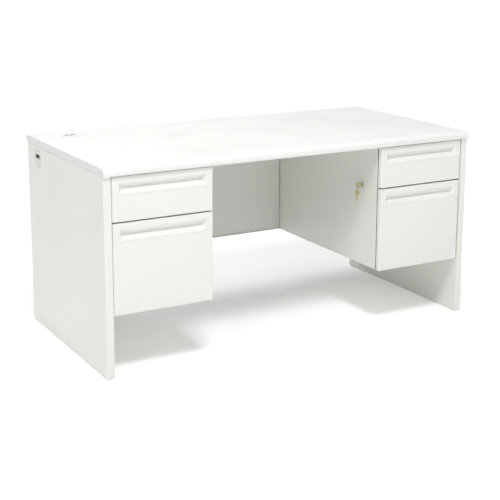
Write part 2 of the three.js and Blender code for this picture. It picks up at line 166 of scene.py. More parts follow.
class Look:
    """A material under construction, with one short call for each kind of shader node."""

    def __init__(self, name, colour, roughness, metallic=0.0):
        self.material = bpy.data.materials.new(name)
        self.material.use_nodes = True
        self.material.diffuse_color = (*colour, 1)
        self.tree = self.material.node_tree
        self.shader = self.tree.nodes["Principled BSDF"]
        self.shader.inputs["Base Color"].default_value = (*colour, 1)
        self.shader.inputs["Roughness"].default_value = roughness
        self.shader.inputs["Metallic"].default_value = metallic
        self.place = self.tree.nodes.new("ShaderNodeTexCoord").outputs["Object"]

    def add(self, kind, inputs):
        made = self.tree.nodes.new(kind)
        for key, value in inputs.items():
            if isinstance(value, bpy.types.NodeSocket):
                self.tree.links.new(value, made.inputs[key])
            else:
                made.inputs[key].default_value = value
        return made

    def noise(self, size, detail=2.0, stretch=(1, 1, 1)):
        """Noise whose features are about size metres across, longer along the axes that stretch names."""
        scale = [1 / (size * along) for along in stretch]
        scaled = self.add("ShaderNodeMapping", {"Vector": self.place, "Scale": scale})
        made = self.add(
            "ShaderNodeTexNoise", {"Vector": scaled.outputs["Vector"], "Scale": 1.0, "Detail": detail}
        )
        return made.outputs["Fac"]

    def remap(self, value, low, high):
        made = self.add(
            "ShaderNodeMapRange",
            {"Value": value, "From Min": 0.3, "From Max": 0.7, "To Min": low, "To Max": high},
        )
        return made.outputs["Result"]

    def total(self, first, second, share):
        """first plus share times second."""
        made = self.add("ShaderNodeMath", {0: second, 1: share, 2: first})
        made.operation = "MULTIPLY_ADD"
        return made.outputs["Value"]

    def ramp(self, value, *stops):
        """The colour at value, between stops of (place, colour)."""
        made = self.add("ShaderNodeValToRGB", {"Fac": value})
        elements = made.color_ramp.elements
        while len(elements) < len(stops):
            elements.new(0.5)
        for element, (place, colour) in zip(elements, stops):
            element.position = place
            element.color = (*colour, 1)
        return made.outputs["Color"]

    def bump(self, height, depth):
        made = self.add("ShaderNodeBump", {"Height": height, "Distance": depth, "Strength": 1.0})
        return made.outputs["Normal"]

    def wire(self, **sockets):
        """Links values to the shader: colour, roughness and normal."""
        names = {"colour": "Base Color", "roughness": "Roughness", "normal": "Normal"}
        for key, value in sockets.items():
            self.tree.links.new(value, self.shader.inputs[names[key]])
        return self.material


def shade(colour, factor):
    return tuple(channel * factor for channel in colour)


def laminate_look():
    """White laminate: a faint cloudiness, a fine pebble grain and slightly uneven gloss."""
    colour = (0.81, 0.81, 0.79)
    look = Look("white_laminate_look", colour, 0.45)
    look.shader.inputs["IOR"].default_value = 1.47
    cloud = look.noise(0.16, 3)
    pebble = look.noise(0.0009, 2)
    speck = look.noise(0.004, 4)
    return look.wire(
        colour=look.ramp(
            look.total(cloud, speck, 0.35), (0.45, shade(colour, 0.985)), (0.9, shade(colour, 1.012))
        ),
        roughness=look.remap(look.total(cloud, pebble, 0.4), 0.38, 0.5),
        normal=look.bump(pebble, 0.00002),
    )


def paint_look(name, colour):
    """Baked enamel on steel: orange peel, a trace of waviness in the sheet, and uneven gloss."""
    look = Look(name, colour, 0.4)
    peel = look.noise(0.0022, 1)
    wave = look.noise(0.12, 1)
    cloud = look.noise(0.3, 3)
    return look.wire(
        colour=look.ramp(cloud, (0.3, shade(colour, 0.985)), (0.7, shade(colour, 1.01))),
        roughness=look.remap(look.noise(0.03, 4), 0.34, 0.46),
        normal=look.bump(look.total(peel, wave, 9), 0.000022),
    )


def zinc_look():
    """Cold-rolled, zinc-plated runner steel, with drawing marks along the rail."""
    colour = (0.56, 0.57, 0.58)
    look = Look("zinc_steel_look", colour, 0.34, 1.0)
    marks = look.noise(0.0008, 2, stretch=(1, 60, 1))
    bloom = look.noise(0.03, 4)
    return look.wire(
        colour=look.ramp(bloom, (0.3, shade(colour, 0.82)), (0.7, shade(colour, 1.1))),
        roughness=look.remap(look.total(marks, bloom, 0.5), 0.22, 0.46),
        normal=look.bump(marks, 0.000012),
    )


def nickel_look():
    colour = (0.7, 0.69, 0.66)
    look = Look("nickel_look", colour, 0.22, 1.0)
    scuffs = look.noise(0.0006, 3, stretch=(1, 6, 1))
    haze = look.noise(0.004, 3)
    return look.wire(
        colour=look.ramp(haze, (0.3, shade(colour, 0.86)), (0.7, shade(colour, 1.05))),
        roughness=look.remap(look.total(scuffs, haze, 0.6), 0.14, 0.34),
        normal=look.bump(scuffs, 0.000006),
    )


def brass_look():
    """Key brass, handled bright in places and dull olive in others."""
    look = Look("brass_look", (0.62, 0.5, 0.24), 0.3, 1.0)
    tarnish = look.noise(0.006, 4)
    scuffs = look.noise(0.0005, 3, stretch=(5, 1, 1))
    return look.wire(
        colour=look.ramp(
            tarnish, (0.35, (0.5, 0.43, 0.2)), (0.5, (0.7, 0.6, 0.32)), (0.68, (0.86, 0.76, 0.47))
        ),
        roughness=look.remap(look.total(scuffs, tarnish, 0.7), 0.22, 0.42),
        normal=look.bump(scuffs, 0.000008),
    )


def plastic_look(name, colour, roughness):
    """Moulded plastic with a fine spark-eroded texture."""
    look = Look(name, colour, roughness)
    grain = look.noise(0.0006, 3)
    cloud = look.noise(0.02, 2)
    return look.wire(
        colour=look.ramp(cloud, (0.3, shade(colour, 0.97)), (0.7, shade(colour, 1.02))),
        roughness=look.remap(look.total(cloud, grain, 0.5), roughness - 0.05, roughness + 0.08),
        normal=look.bump(grain, 0.00003),
    )


LOOKS = {
    "white_laminate": laminate_look(),
    "white_paint": paint_look("white_paint_look", (0.82, 0.83, 0.79)),
    # The cases' paint is the fronts' white enamel made darker and greener: painted shade for the dim,
    # greenish shade on the pedestals' sides and in the kneespace.
    "case_paint": paint_look("case_paint_painted_shade_look", (0.775, 0.795, 0.745)),
    "zinc_steel": zinc_look(),
    "nickel": nickel_look(),
    "brass": brass_look(),
    "white_plastic": plastic_look("white_plastic_look", (0.75, 0.76, 0.72), 0.45),
    "glide_plastic": plastic_look("glide_plastic_look", (0.05, 0.05, 0.048), 0.55),
}
SLOT_OF = {part["node"]: part["material_slot"] for part in frame["record"]["subparts"]}
BODY_OF = {
    node: body for body, nodes in frame["record"]["behaviour"]["bodies"].items() for node in nodes
}

# ---------------------------------------------------------------- mesh helpers


def smooth_step(t):
    t = min(max(t, 0.0), 1.0)
    return t * t * (3 - 2 * t)


def clamp(value, low, high):
    return min(max(value, low), high)


def spread(start, stop, steps):
    """Evenly spaced values from start to stop, both included."""
    return [start + (stop - start) * step / steps for step in range(steps + 1)]


def soft_minimum(first, second, blend=0.16):
    """The smaller value, with the crossing rounded off. Still 0 where either value is 0."""
    crossing = max(blend - abs(first - second), 0.0) / blend
    rounding = crossing * crossing * blend / 4
    smaller = min(first, second)
    return max(smaller - rounding * min(1.0, smaller / blend), 0.0)


def piece_from(name, bm, smooth_below=32):
    """A new object from bmesh geometry, smooth across edges that turn less than smooth_below degrees."""
    bm.normal_update()
    for face in bm.faces:
        face.smooth = True
    for edge in bm.edges:
        turn = edge.calc_face_angle(math.pi) if len(edge.link_faces) == 2 else math.pi
        edge.smooth = turn < math.radians(smooth_below)
    mesh = bpy.data.meshes.new(name)
    bm.to_mesh(mesh)
    bm.free()
    piece = bpy.data.objects.new(name, mesh)
    bpy.context.scene.collection.objects.link(piece)
    return piece


def stand_for(piece, node):
    """piece takes a CAD node's place, finish and body."""
    slot = SLOT_OF[node]
    piece.data.materials.clear()
    piece.data.materials.append(LOOKS[slot])
    even = piece.modifiers.new("flat_faces_stay_flat", "WEIGHTED_NORMAL")
    even.keep_sharp = True
    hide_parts(node)
    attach(piece, BODY_OF[node])
    return piece


def thicken(piece, thickness):
    solid = piece.modifiers.new("sheet", "SOLIDIFY")
    solid.thickness = thickness
    solid.offset = -1
    solid.use_even_offset = True


def apply_modifiers(piece):
    """Writes the piece's modifiers into its mesh."""
    bpy.context.view_layer.update()
    evaluated = piece.evaluated_get(bpy.context.evaluated_depsgraph_get())
    finished = bpy.data.meshes.new_from_object(evaluated)
    piece.modifiers.clear()
    piece.data = finished


def turned(origin, axis):
    """A frame at origin whose +Z points along axis."""
    return Matrix.Translation(origin) @ Vector(axis).to_track_quat("Z", "Y").to_matrix().to_4x4()


def cut_away(piece, tool_bm):
    """Cuts the closed geometry tool_bm out of the piece."""
    tool = piece_from("cutter", tool_bm)
    cut = piece.modifiers.new("cut", "BOOLEAN")
    cut.object = tool
    cut.operation = "DIFFERENCE"
    cut.solver = "EXACT"
    apply_modifiers(piece)
    bpy.data.objects.remove(tool)


def rod(radius, length, place, sides=64):
    bm = bmesh.new()
    bmesh.ops.create_cone(
        bm, cap_ends=True, segments=sides, radius1=radius, radius2=radius, depth=length, matrix=place
    )
    return bm


def block(low, high):
    bm = bmesh.new()
    middle = (Vector(low) + Vector(high)) / 2
    size = Vector(high) - Vector(low)
    bmesh.ops.create_cube(bm, size=1, matrix=Matrix.Translation(middle) @ Matrix.Diagonal((*size, 1)))
    return bm


def ordered(first, second):
    """The lowest and highest corners of the box that two opposite corners span."""
    return [min(pair) for pair in zip(first, second)], [max(pair) for pair in zip(first, second)]


def face_samples(length, near, far, breaks=(), steps=6):
    """Places across a face as (place, bend).

    bend is -1 at the near edge, 0 on the flat and 1 at the far edge.
    """
    bends = [math.sin(math.radians(90 * step / steps)) for step in range(1, steps + 1)]
    flats = {near, length - far}
    flats.update(place for place in breaks if near < place < length - far)
    samples = [(near * (1 - bend), -bend) for bend in reversed(bends)]
    samples += [(place, 0.0) for place in sorted(flats)]
    samples += [(length - far * (1 - bend), bend) for bend in bends]
    return samples


def pressed_sheet(name, place, size, rounds, rim, relief=None, breaks=((), ())):
    """A pressed face with rounded edges and bent-back flanges, as one open surface.

    place(across, up, depth) gives a point in the row frame. rounds are the radii at the near, far,
    low and high edges. rim lists (inset, depth) rings that the flanges run through, and relief
    (across, up) gives how far the face is pressed in.
    """
    width, height = size
    near, far, low, high = rounds
    grid = []
    outward = []
    for b, q in face_samples(height, low, high, breaks[1]):
        points, directions = [], []
        for a, p in face_samples(width, near, far, breaks[0]):
            u = p * math.sqrt(1 - q * q / 2)
            v = q * math.sqrt(1 - p * p / 2)
            round_a = far if p > 0 else near
            round_b = high if q > 0 else low
            across = clamp(a, near, width - far) + round_a * u
            up = clamp(b, low, height - high) + round_b * v
            edge = u * u + v * v
            drop = 0.0
            if edge > 0:
                drop = (round_a * u * u + round_b * v * v) / edge * (1 - math.sqrt(max(0.0, 1 - edge)))
            pressed = relief(across, up) if relief else 0.0
            points.append((across, up, drop + pressed))
            directions.append(Vector((u, v)))
        grid.append(points)
        outward.append(directions)

    bm = bmesh.new()
    verts = [[bm.verts.new(place(*point)) for point in points] for points in grid]
    rows, columns = len(verts), len(verts[0])
    for j in range(rows - 1):
        for i in range(columns - 1):
            bm.faces.new((verts[j][i], verts[j][i + 1], verts[j + 1][i + 1], verts[j + 1][i]))

    loop = [(0, i) for i in range(columns - 1)]
    loop += [(j, columns - 1) for j in range(rows - 1)]
    loop += [(rows - 1, i) for i in range(columns - 1, 0, -1)]
    loop += [(j, 0) for j in range(rows - 1, 0, -1)]
    ring = [verts[j][i] for j, i in loop]
    for inset, depth in rim:
        following = []
        for j, i in loop:
            inward = -outward[j][i].normalized() * inset
            following.append(bm.verts.new(place(grid[j][i][0] + inward.x, grid[j][i][1] + inward.y, depth)))
        for k in range(len(ring)):
            after = (k + 1) % len(ring)
            bm.faces.new((ring[k], following[k], following[after], ring[after]))
        ring = following
    corner = place(0, 0, 0)
    facing = (place(1, 0, 0) - corner).cross(place(0, 1, 0) - corner)
    if facing.dot(place(0, 0, -1) - corner) < 0:
        bmesh.ops.reverse_faces(bm, faces=bm.faces[:])
    return piece_from(name, bm)


def folded_outline(path, thickness, bend, steps=5):
    """The outline of a folded strip. path is its outer face, a polyline that turns left at each fold."""
    path = [Vector(point) for point in path]
    outer = [path[0]]
    first = (path[1] - path[0]).normalized()
    inner = [path[0] + Vector((-first.y, first.x)) * thickness]
    for before, corner, after in zip(path, path[1:], path[2:]):
        arriving = (corner - before).normalized()
        leaving = (after - corner).normalized()
        left = Vector((-arriving.y, arriving.x))
        centre = corner - arriving * bend + left * bend
        for step in range(steps + 1):
            angle = math.radians(90 * step / steps)
            out = -left * math.cos(angle) - Vector((-leaving.y, leaving.x)) * math.sin(angle)
            outer.append(centre + out * bend)
            inner.append(centre + out * (bend - thickness))
    last = (path[-1] - path[-2]).normalized()
    outer.append(path[-1])
    inner.append(path[-1] + Vector((-last.y, last.x)) * thickness)
    return outer + inner[::-1]


def drawn_out(name, outline, start, stop, to_point):
    """A closed 2-D outline drawn out from start to stop; to_point(a, b, along) gives row-frame points."""
    bm = bmesh.new()
    near = [bm.verts.new(to_point(a, b, start)) for a, b in outline]
    far = [bm.verts.new(to_point(a, b, stop)) for a, b in outline]
    bm.faces.new(near)
    bm.faces.new(far[::-1])
    for k in range(len(outline)):
        after = (k + 1) % len(outline)
        bm.faces.new((near[k], far[k], far[after], near[after]))
    bmesh.ops.recalc_face_normals(bm, faces=bm.faces[:])
    return piece_from(name, bm)


def channel(node, opens, thickness, bend, along="y", bore=None):
    """A folded C section in a CAD node's box. opens is +1 or -1, the way its open side faces."""
    low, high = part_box(node)
    section_axis = "x" if along == "y" else "y"
    closed = getattr(low if opens > 0 else high, section_axis)
    lip = getattr(high if opens > 0 else low, section_axis)
    path = [(lip, high.z), (closed, high.z), (closed, low.z), (lip, low.z)]
    if opens < 0:
        path = path[::-1]

    def to_point(a, b, distance):
        return Vector((a, distance, b)) if along == "y" else Vector((distance, a, b))

    outline = folded_outline(path, thickness, bend)
    name = f"{node}_section"
    piece = drawn_out(name, outline, getattr(low, along), getattr(high, along), to_point)
    if bore:
        cut_away(piece, bore)
    return stand_for(piece, node)


def lathe(name, profile, place, steps=64):
    """A closed profile of (radius, height) turned round place's Z axis."""
    bm = bmesh.new()
    rings = []
    for step in range(steps):
        angle = 2 * math.pi * step / steps
        rings.append(
            [bm.verts.new(place @ Vector((r * math.cos(angle), r * math.sin(angle), h))) for r, h in profile]
        )
    for step in range(steps):
        here, following = rings[step], rings[(step + 1) % steps]
        for k in range(len(profile)):
            after = (k + 1) % len(profile)
            bm.faces.new((here[k], following[k], following[after], here[after]))
    bmesh.ops.remove_doubles(bm, verts=bm.verts[:], dist=1e-7)
    bmesh.ops.recalc_face_normals(bm, faces=bm.faces[:])
    return piece_from(name, bm)


def rounded_corner(centre, radius, start, stop, steps=6):
    """Points on an arc in degrees, for a profile."""
    points = []
    for degrees in spread(start, stop, steps):
        angle = math.radians(degrees)
        points.append((centre[0] + radius * math.cos(angle), centre[1] + radius * math.sin(angle)))
    return points


def soften(piece, edge):
    bevel = piece.modifiers.new("soft_edges", "BEVEL")
    bevel.width = edge
    bevel.segments = 2
    bevel.limit_method = "ANGLE"
    bevel.angle_limit = math.radians(40)
    bevel.harden_normals = True


def finish_cad(node, edge=0.4 * MM):
    """Keeps a CAD node's own shape, with softened edges and its material."""
    piece = frame["nodes"][node]
    soften(piece, edge)
    piece.data.materials.clear()
    piece.data.materials.append(LOOKS[SLOT_OF[node]])


# ---------------------------------------------------------------- worktop


def worktop():
    low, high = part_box("worktop")
    nose = (low.y + NOSE_RADIUS, high.z - NOSE_RADIUS)
    section = rounded_corner(nose, NOSE_RADIUS, 90, 180, 20)
    section += rounded_corner((low.y + BOARD_EDGE, low.z + BOARD_EDGE), BOARD_EDGE, 180, 270, 8)
    section += rounded_corner((high.y - BOARD_EDGE, low.z + BOARD_EDGE), BOARD_EDGE, 270, 360, 8)
    section += rounded_corner((high.y - BOARD_EDGE, high.z - BOARD_EDGE), BOARD_EDGE, 0, 90, 8)
    middle = Vector(((low.y + high.y) / 2, (low.z + high.z) / 2))
    bm = bmesh.new()
    rings = []
    for x, inset in end_round(low.x, high.x, BOARD_END):
        ring = []
        for y, z in section:
            inward = Vector((clamp(middle.x - y, -inset, inset), clamp(middle.y - z, -inset, inset)))
            ring.append(bm.verts.new((x, y + inward.x, z + inward.y)))
        rings.append(ring)
    for here, following in zip(rings, rings[1:]):
        for k in range(len(section)):
            after = (k + 1) % len(section)
            bm.faces.new((here[k], here[after], following[after], following[k]))
    bm.faces.new(rings[0][::-1])
    bm.faces.new(rings[-1])
    bmesh.ops.recalc_face_normals(bm, faces=bm.faces[:])
    board = piece_from("worktop_board", bm)
    hole_low, hole_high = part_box("top_grommet_sleeve")
    middle = (hole_low + hole_high) / 2
    thickness = high.z - low.z
    cut_away(board, rod(GROMMET_HOLE, 3 * thickness, Matrix.Translation(middle)))
    stand_for(board, "worktop")


def end_round(start, stop, radius, steps=4):
    """(place, inset) rings that round both ends of a long piece."""
    near = []
    for step in range(steps + 1):
        angle = math.radians(90 * step / steps)
        near.append((start + radius * (1 - math.cos(angle)), radius * (1 - math.sin(angle))))
    far = [(stop - (x - start), inset) for x, inset in reversed(near)]
    return near + far


# ---------------------------------------------------------------- end panels and modesty panel


def end_panel(side):
    node = f"{side}_end_panel"
    low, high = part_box(node)
    outer = low.x if side == "left" else high.x
    inward = 1 if side == "left" else -1

    def place(across, up, depth):
        return Vector((outer + inward * depth, low.y + across, low.z + up))

    size = (high.y - low.y, high.z - low.z)
    rounds = (PANEL_ROUND, PANEL_ROUND, PANEL_FOOT_ROUND, PANEL_TOP_ROUND)
    panel = pressed_sheet(f"{node}_pan", place, size, rounds, [(0, high.x - low.x)])
    thicken(panel, FRONT_STEEL)
    apply_modifiers(panel)
    if side == "left":
        hole_low, hole_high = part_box("side_grommet_sleeve")
        centre = (hole_low + hole_high) / 2
        cut_away(panel, rod(GROMMET_HOLE, DRILL, turned(centre, (1, 0, 0))))
    stand_for(panel, node)
    finish_cad(f"{node}_liner", 0.3 * MM)


def modesty():
    """The outer sheet, with its lower edge returned under the liner pan."""
    low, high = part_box("modesty_panel")
    pan_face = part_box("modesty_panel_liner")[0].y
    path = [(pan_face, low.z), (high.y, low.z), (high.y, high.z)]
    outline = folded_outline(path, STEEL, BEND)
    sheet = drawn_out(
        "modesty_panel_sheet", outline, low.x, high.x, lambda a, b, x: Vector((x, a, b))
    )
    stand_for(sheet, "modesty_panel")
    finish_cad("modesty_panel_liner")


# ---------------------------------------------------------------- pedestals


def pedestal(side):
    toward_end = -1 if side == "left" else 1
    name = f"{side}_pedestal"
    bore = None
    if side == "right":
        low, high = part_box("lock_housing")
        bore = rod(LOCK_BORE, DRILL, turned((low + high) / 2, (1, 0, 0)))
    channel(f"{name}_kneespace_side", toward_end, STEEL, BEND, bore=bore)
    channel(f"{name}_outer_side", -toward_end, STEEL, BEND)
    channel(f"{name}_cross_rail", 1, STEEL, BEND, along="x")
    finish_cad(f"{name}_back")
    finish_cad(f"{name}_floor")


# ---------------------------------------------------------------- drawers


def front_relief(width, height):
    """How far a drawer front is pressed in, as a function of the place on it."""

    def relief(across, up):
        down = height - up
        inset = min(across, width - across)
        step = LIP_STEP * smooth_step((down - LIP_STEP_TOP) / (LIP_STEP_BOTTOM - LIP_STEP_TOP))
        if not PULL_TOP < down < PULL_BOTTOM:
            return step
        # Steep just under its upper edge, and flattening out towards the lower one.
        if down < PULL_DEEPEST:
            t = (down - PULL_TOP) / (PULL_DEEPEST - PULL_TOP)
            curve = (1 - (1 - t) ** 2) * smooth_step(0.3 + 5 * t)
        else:
            curve = ((PULL_BOTTOM - down) / (PULL_BOTTOM - PULL_DEEPEST)) ** 1.6
        end = clamp((inset - PULL_TOP_INSET) / (PULL_DEEP_INSET - PULL_TOP_INSET), 0.0, 1.0)
        return step + PULL_DEPTH * soft_minimum(curve, end * (1.6 - 0.6 * end))

    return relief


def pull_breaks(width, height):
    """Sample places across and up a front that follow its pull's curves."""
    down = spread(PULL_TOP, PULL_DEEPEST, 24)[:-1] + spread(PULL_DEEPEST, PULL_BOTTOM, 12)
    down += spread(LIP_STEP_TOP, LIP_STEP_BOTTOM, 6)
    inset = spread(PULL_TOP_INSET, PULL_DEEP_INSET, 20)
    return inset + [width - place for place in inset], [height - place for place in down]


def drawer_front(node):
    low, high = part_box(node)

    def place(across, up, depth):
        return Vector((low.x + across, low.y + depth, low.z + up))

    size = (high.x - low.x, high.z - low.z)
    rounds = (FRONT_SIDE_ROUND, FRONT_SIDE_ROUND, FRONT_EDGE_ROUND, FRONT_EDGE_ROUND)
    breaks = pull_breaks(*size)
    front = pressed_sheet(
        f"{node}_pressing", place, size, rounds, [(0, high.y - low.y)], front_relief(*size), breaks
    )
    thicken(front, FRONT_STEEL)
    stand_for(front, node)


def drawer_body(side, kind):
    """A folded tray with a hem rolled inwards over its rim, and a strike on the locking side."""
    low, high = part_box(f"left_{kind}_drawer_body")
    start = low.x if side == "left" else -high.x

    def place(across, up, depth):
        return Vector((start + across, low.y + up, low.z + depth))

    node = f"{side}_{kind}_drawer_body"
    size = (high.x - low.x, high.y - low.y)
    depth = high.z - low.z
    roll = rounded_corner((HEM_FOLD / 2, depth - HEM_FOLD / 2), HEM_FOLD / 2, 180, 0, 6)
    rim = roll + [(HEM_FOLD, depth - HEM)]
    tray = pressed_sheet(f"{node}_tray", place, size, (BEND,) * 4, rim)
    thicken(tray, STEEL)
    stand_for(tray, node)
    if side == "right":
        strike(node, kind)


def strike(node, kind):
    """The folded tab, spot-welded to a tray of the locking pedestal, that a lock bolt meets."""
    lock_low, lock_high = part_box("lock_housing")
    axis = (lock_low + lock_high) / 2
    low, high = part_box(node)
    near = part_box("right_pedestal_kneespace_side")[0].x + STRIKE_INSET
    far = near + STRIKE_WIDTH
    name = f"{node}_strike"
    if kind == "box":
        front = axis.y - BOX_STRIKE_AHEAD
        tab = block((near, front, low.z), (far, front + STEEL, low.z + STRIKE_REACH + 0.4 * MM))
        piece = piece_from(name, tab)
    else:
        front = axis.y + FILE_STRIKE_BACK
        top = high.z
        shelf = top - STRIKE_REACH
        path = [(front + STRIKE_REACH, shelf), (front, shelf), (front, top)]
        outline = folded_outline(path[::-1], STEEL, BEND)
        start = low.x + STRIKE_TO_WALL
        piece = drawn_out(name, outline, start, far, lambda a, b, x: Vector((x, a, b)))
    soften(piece, 0.3 * MM)
    piece.data.materials.append(LOOKS[SLOT_OF[node]])
    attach(piece, BODY_OF[node])


def runner(side, kind, wall):
    toward_end = -1 if side == "left" else 1
    inward = toward_end if wall == "kneespace" else -toward_end
    parts = [("case_rail", inward), ("drawer_rail", -inward)]
    if kind == "file":
        parts.append(("middle_rail", inward))
    for part, opens in parts:
        channel(f"{side}_{kind}_drawer_{wall}_{part}", opens, RUNNER_STEEL, RUNNER_BEND)


# ---------------------------------------------------------------- grommets


def grommet(name, axis):
    """A flanged sleeve and its slotted cap, in frames whose +Z points out of the desk."""
    low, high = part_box(f"{name}_grommet_sleeve")
    centre = (low + high) / 2
    if name == "top":
        centre.z = high.z
        length = high.z - low.z
        along, up = Vector((1, 0, 0)), Vector((0, 1, 0))
    else:
        centre.x = low.x
        length = high.x - low.x
        along, up = Vector((0, 1, 0)), Vector((0, 0, 1))
    place = turned(centre, axis)
    profile = [(TUBE_INNER, -length), (TUBE_OUTER, -length)]
    profile += [(TUBE_OUTER, -GROMMET_LIP), (GROMMET_FLANGE, -GROMMET_LIP)]
    edge, mouth = 0.6 * MM, 0.5 * MM
    profile += rounded_corner((GROMMET_FLANGE - edge, -0.8 * MM), edge, 0, 60, 3)
    profile += [(GROMMET_FLANGE - 2 * MM, -0.05 * MM)]
    profile += rounded_corner((TUBE_INNER + mouth, -mouth), mouth, 90, 180, 4)
    stand_for(lathe(f"{name}_grommet_collar", profile, place), f"{name}_grommet_sleeve")

    face, rim = -CAP_SUNK, 0.8 * MM
    cap = [(0, face - CAP_PLATE), (CAP_RADIUS - CAP_WALL, face - CAP_PLATE)]
    cap += [(CAP_RADIUS - CAP_WALL, face - CAP_SKIRT), (CAP_RADIUS, face - CAP_SKIRT)]
    cap += rounded_corner((CAP_RADIUS - rim, face - rim), rim, 0, 90, 4)
    cap += [(0, face)]
    lid = lathe(f"{name}_grommet_lid", cap, place)
    cap_low, cap_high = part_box(f"{name}_grommet_cap")
    through = Vector(axis) * (cap_high - cap_low).length
    half, near, far = CABLE_SLOT
    corner = centre - along * half + up * near - through
    opposite = centre + along * half + up * far + through
    cut_away(lid, block(*ordered(corner, opposite)))
    stand_for(lid, f"{name}_grommet_cap")


# ---------------------------------------------------------------- lock and keys


def lock():
    """The barrel and its nut, then the plug with its cam and screw, all turned round +X."""
    low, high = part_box("lock_housing")
    axis = (low + high) / 2
    lock_housing(Vector((low.x, axis.y, axis.z)), high.x - low.x, (high.z - low.z) / 2)
    low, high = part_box("lock_plug")
    lock_core(Vector((low.x, axis.y, axis.z)), high.x - low.x)
    lock_cam(Vector((high.x, axis.y, axis.z)), (high.z - low.z) / 2)


def lock_housing(front, length, flange):
    """front is the middle of its face, and flange its largest radius."""
    place = turned(front, (1, 0, 0))
    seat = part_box("right_pedestal_kneespace_side")[0].x - front.x
    bore = PLUG_RADIUS + BARREL_SLACK
    under = seat - BARREL_SLACK
    root = BARREL - BARREL_ROOT
    profile = [(bore, length), (bore, MOUTH_ROUND)]
    profile += rounded_corner((bore + MOUTH_ROUND, MOUTH_ROUND), MOUTH_ROUND, 180, 270, 3)
    profile += [(flange - FLANGE_ROUND - MM, FLANGE_DISH)]
    profile += rounded_corner((flange - FLANGE_ROUND, FLANGE_ROUND + 0.1 * MM), FLANGE_ROUND, 270, 360, 5)
    profile += [(flange, under), (BARREL, under)]
    thread = seat + STEEL
    while thread < length - 2 * THREAD:
        profile += [(BARREL, thread + 0.1 * THREAD), (root, thread + 0.6 * THREAD)]
        thread += THREAD
    profile += [(root, length - THREAD), (root, length)]
    stand_for(lathe("lock_barrel", profile, place), "lock_housing")

    slack = 0.1 * MM
    middle = place @ Matrix.Translation((0, 0, seat + STEEL + slack + NUT / 2))
    nut = piece_from("lock_nut", rod(flange - slack, NUT, middle, 6))
    cut_away(nut, rod(BARREL + slack / 2, 3 * NUT, middle))
    soften(nut, 0.3 * MM)
    stand_for(nut, "lock_housing")


def lock_core(front, reach):
    """The plug behind its keyway. front is the middle of its face."""
    edge = 0.5 * MM
    profile = [(0, reach - CAM), (0, 0)]
    profile += rounded_corner((PLUG_RADIUS - edge, edge), edge, 270, 360, 4)
    profile += [(PLUG_RADIUS, reach - CAM)]
    plug = lathe("lock_core", profile, turned(front, (1, 0, 0)))
    width, height, depth = KEYWAY
    slot = Vector((depth, width / 2, height / 2))
    cut_away(plug, block(front - Vector((MM, slot.y, slot.z)), front + slot))
    stand_for(plug, "lock_plug")


def lock_cam(back, arm):
    """The cam at rest, upright, and its screw's head, which ends at back."""
    outline = rounded_corner((0, arm - CAM_END), CAM_END, 0, 180, 10)
    outline += rounded_corner((0, CAM_END - arm), CAM_END, 180, 360, 10)
    plate = drawn_out(
        "lock_cam", outline, back.x - CAM, back.x - CAM_HEAD,
        lambda a, b, x: Vector((x, back.y + a, back.z + b)),
    )
    soften(plate, 0.2 * MM)
    stand_for(plate, "lock_plug")
    height = CAM_HEAD + 0.1 * MM
    middle = turned(back - Vector((height / 2, 0, 0)), (1, 0, 0))
    head = piece_from("lock_cam_screw", rod(3 * MM, height, middle, 6))
    soften(head, 0.15 * MM)
    stand_for(head, "lock_plug")


def key_outline(bow, length):
    """The key in (a, b): the middle of its bow at the origin, its hole at -a, its blade along +a."""
    meet = math.degrees(math.asin(KEY_BLADE / bow))
    outline = rounded_corner((0, 0), bow, meet, 360 - meet, 56)
    start = bow * math.cos(math.radians(meet)) + KEY_SHOULDER
    tip = length - bow
    pitch = (tip - start - KEY_TIP) / len(KEY_BITES)
    outline.append((start, -KEY_BLADE))
    # Each bite is flat over the middle of its pitch, and a low crest parts it from the next.
    for cut in KEY_BITES:
        bottom = cut * MM - KEY_BLADE
        outline += [(start + 0.3 * pitch, bottom), (start + 0.7 * pitch, bottom)]
        outline.append((start + pitch, -KEY_BLADE + 0.2 * MM))
        start += pitch
    outline += [(tip, -KEY_BLADE / 2), (tip, KEY_BLADE / 2), (tip - 1.5 * MM, KEY_BLADE)]
    return outline


def flat_key(node, to_row):
    """A stamped key: pierced bow with a sunk panel, and a blade with a milled groove."""
    low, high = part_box("key")
    bow = (high.z - low.z) / 2
    thickness = high.y - low.y
    length = high.x - low.x
    half = thickness / 2
    piece = drawn_out(
        f"{node}_blank", key_outline(bow, length), -half, half, lambda a, b, y: Vector((a, y, b))
    )
    cut_away(piece, rod(KEY_HOLE, 4 * thickness, turned((-KEY_HOLE_OUT, 0, 0), (0, 1, 0))))
    radius, out, sunk = KEY_PANEL
    lower, upper, milled = KEY_GROOVE
    beyond = half + MM
    for face in (-1, 1):
        panel = turned((out, face * (beyond - sunk), 0), (0, 1, 0))
        cut_away(piece, rod(radius, 2 * MM, panel))
        tip_corner = Vector((length - bow + MM, face * (half - milled), upper))
        bow_corner = Vector((bow - 0.5 * MM, face * beyond, lower))
        cut_away(piece, block(*ordered(tip_corner, bow_corner)))
    piece.data.transform(to_row)
    soften(piece, 0.22 * MM)
    stand_for(piece, node)


def keys():
    low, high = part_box("key")
    bow = (high.z - low.z) / 2
    middle = Vector((low.x + bow, (low.y + high.y) / 2, (low.z + high.z) / 2))
    flat_key("key", Matrix.Translation(middle))
    low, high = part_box("spare_key")
    bow = (high.x - low.x) / 2
    middle = Vector(((low.x + high.x) / 2, (low.y + high.y) / 2, high.z - bow))
    flat_key("spare_key", Matrix.Translation(middle) @ Matrix.Rotation(math.pi / 2, 4, "Y"))


def rounded_square(value):
    """Pushes a sine or cosine out towards the side of a square."""
    return value**3 / abs(value) ** 2.2


